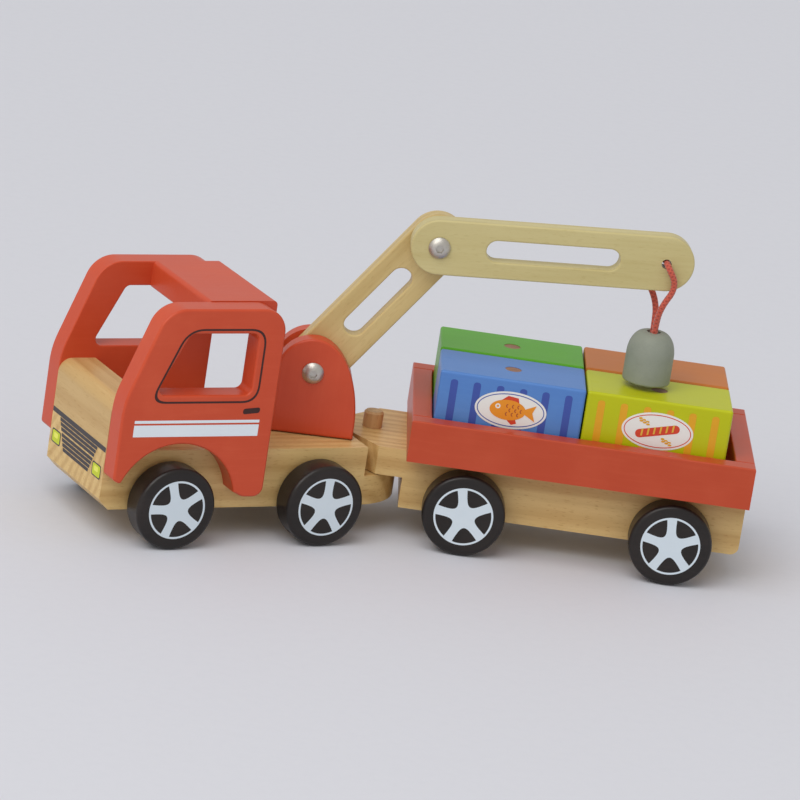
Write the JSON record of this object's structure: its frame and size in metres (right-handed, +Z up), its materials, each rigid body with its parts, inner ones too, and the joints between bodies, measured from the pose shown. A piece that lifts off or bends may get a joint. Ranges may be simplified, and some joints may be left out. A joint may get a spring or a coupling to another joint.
{
  "type": "toy crane truck with trailer",
  "caption": "Wooden toy crane truck with a folding two-part crane, magnet hook, coupled flat trailer and lift-off container blocks.",
  "frame": {"origin": "middle of the toy's footprint, on the ground", "axes": "+X along the trailer towards its tail, +Z up, the truck in front at -X turned to -Y"},
  "size_m": [0.3394, 0.1584, 0.1639],
  "materials": {
    "bare_wood": "sanded, clear matt lacquer",
    "dowel_wood": "turned dowel, bare",
    "lower_boom_wood": "sanded, clear matt lacquer",
    "upper_boom_wood": "sanded, clear matt lacquer",
    "red_paint": "satin paint on wood",
    "wheel_black": "satin black paint on turned wood",
    "steel": "polished steel",
    "disc_steel": "browned steel",
    "cord_red": "braided cord",
    "holder_grey": "smooth moulded",
    "blue_paint": "satin paint on wood",
    "yellow_paint": "satin paint on wood",
    "green_paint": "satin paint on wood",
    "orange_paint": "satin paint on wood"
  },
  "bodies": {
    "truck": {"truck_chassis": "bare_wood", "hood_block": "bare_wood", "cab_side_left": "red_paint", "cab_side_right": "red_paint", "cab_roof": "red_paint", "hitch_peg": "dowel_wood"},
    "crane_base": {"crane_base": "red_paint", "slew_peg": "dowel_wood", "shoulder_bolt": "steel", "shoulder_nut": "steel"},
    "lower_boom": {"lower_boom": "lower_boom_wood", "elbow_bolt": "steel", "elbow_nut": "steel"},
    "upper_boom": {"upper_boom": "upper_boom_wood"},
    "hook": {"hook_cord": "cord_red", "magnet_holder": "holder_grey", "magnet": "steel"},
    "trailer": {"trailer_chassis": "bare_wood", "tray_floor": "red_paint", "tray_side_left": "red_paint", "tray_side_right": "red_paint", "tray_front_board": "red_paint", "tray_rear_board": "red_paint"},
    "truck_front_wheels": {"truck_front_axle": "dowel_wood", "truck_front_wheel_left": "wheel_black", "truck_front_wheel_right": "wheel_black"},
    "truck_rear_wheels": {"truck_rear_axle": "dowel_wood", "truck_rear_wheel_left": "wheel_black", "truck_rear_wheel_right": "wheel_black"},
    "trailer_front_wheels": {"trailer_front_axle": "dowel_wood", "trailer_front_wheel_left": "wheel_black", "trailer_front_wheel_right": "wheel_black"},
    "trailer_rear_wheels": {"trailer_rear_axle": "dowel_wood", "trailer_rear_wheel_left": "wheel_black", "trailer_rear_wheel_right": "wheel_black"},
    "container_blue": {"container_blue": "blue_paint", "blue_steel_disc": "disc_steel"},
    "container_yellow": {"container_yellow": "yellow_paint", "yellow_steel_disc": "disc_steel"},
    "container_green": {"container_green": "green_paint", "green_steel_disc": "disc_steel"},
    "container_orange": {"container_orange": "orange_paint", "orange_steel_disc": "disc_steel"}
  },
  "joints": [
    {"name": "truck_front_spin", "type": "hinge", "parent": "truck", "child": "truck_front_wheels", "pos_m": [-0.12122, -0.02631, 0.02], "axis": [-0.4602, 0.8878, 0], "continuous": true},
    {"name": "truck_rear_spin", "type": "hinge", "parent": "truck", "child": "truck_rear_wheels", "pos_m": [-0.05188, 0.00963, 0.02], "axis": [-0.4602, 0.8878, 0], "continuous": true},
    {"name": "trailer_front_spin", "type": "hinge", "parent": "trailer", "child": "trailer_front_wheels", "pos_m": [0.03571, 0.03016, 0.02], "axis": [0, 1, 0], "continuous": true},
    {"name": "trailer_rear_spin", "type": "hinge", "parent": "trailer", "child": "trailer_rear_wheels", "pos_m": [0.13561, 0.03016, 0.02], "axis": [0, 1, 0], "continuous": true},
    {"name": "hitch_turn", "type": "hinge", "parent": "truck", "child": "trailer", "pos_m": [-0.01229, 0.03016, 0.037], "axis": [0, 0, 1], "range_deg": [-10.6, 65.4]},
    {"name": "crane_slew", "type": "hinge", "parent": "truck", "child": "crane_base", "pos_m": [-0.04691, 0.01221, 0.044], "axis": [0, 0, 1], "range_deg": [-86.6, 133.4]},
    {"name": "shoulder_lift", "type": "hinge", "parent": "crane_base", "child": "lower_boom", "pos_m": [-0.04591, 0.01228, 0.0754], "axis": [0.0698, -0.9976, 0], "range_deg": [0, 33]},
    {"name": "elbow_lift", "type": "hinge", "parent": "lower_boom", "child": "upper_boom", "pos_m": [0.00523, 0.00654, 0.14456], "axis": [0.0698, -0.9976, 0], "range_deg": [0, 60]},
    {"name": "hook_swing", "type": "hinge", "parent": "upper_boom", "child": "hook", "pos_m": [0.1134, 0.0141, 0.15043], "axis": [0.0698, -0.9976, 0], "range_deg": [-45, 80]},
    {"name": "container_blue_lift", "type": "slide", "parent": "trailer", "child": "container_blue", "axis": [0, 0, 1], "range_m": [0, 0.04]},
    {"name": "container_yellow_lift", "type": "slide", "parent": "trailer", "child": "container_yellow", "axis": [0, 0, 1], "range_m": [0, 0.0015]},
    {"name": "container_green_lift", "type": "slide", "parent": "trailer", "child": "container_green", "axis": [0, 0, 1], "range_m": [0, 0.05]},
    {"name": "container_orange_lift", "type": "slide", "parent": "trailer", "child": "container_orange", "axis": [0, 0, 1], "range_m": [0, 0.05]}
  ]
}
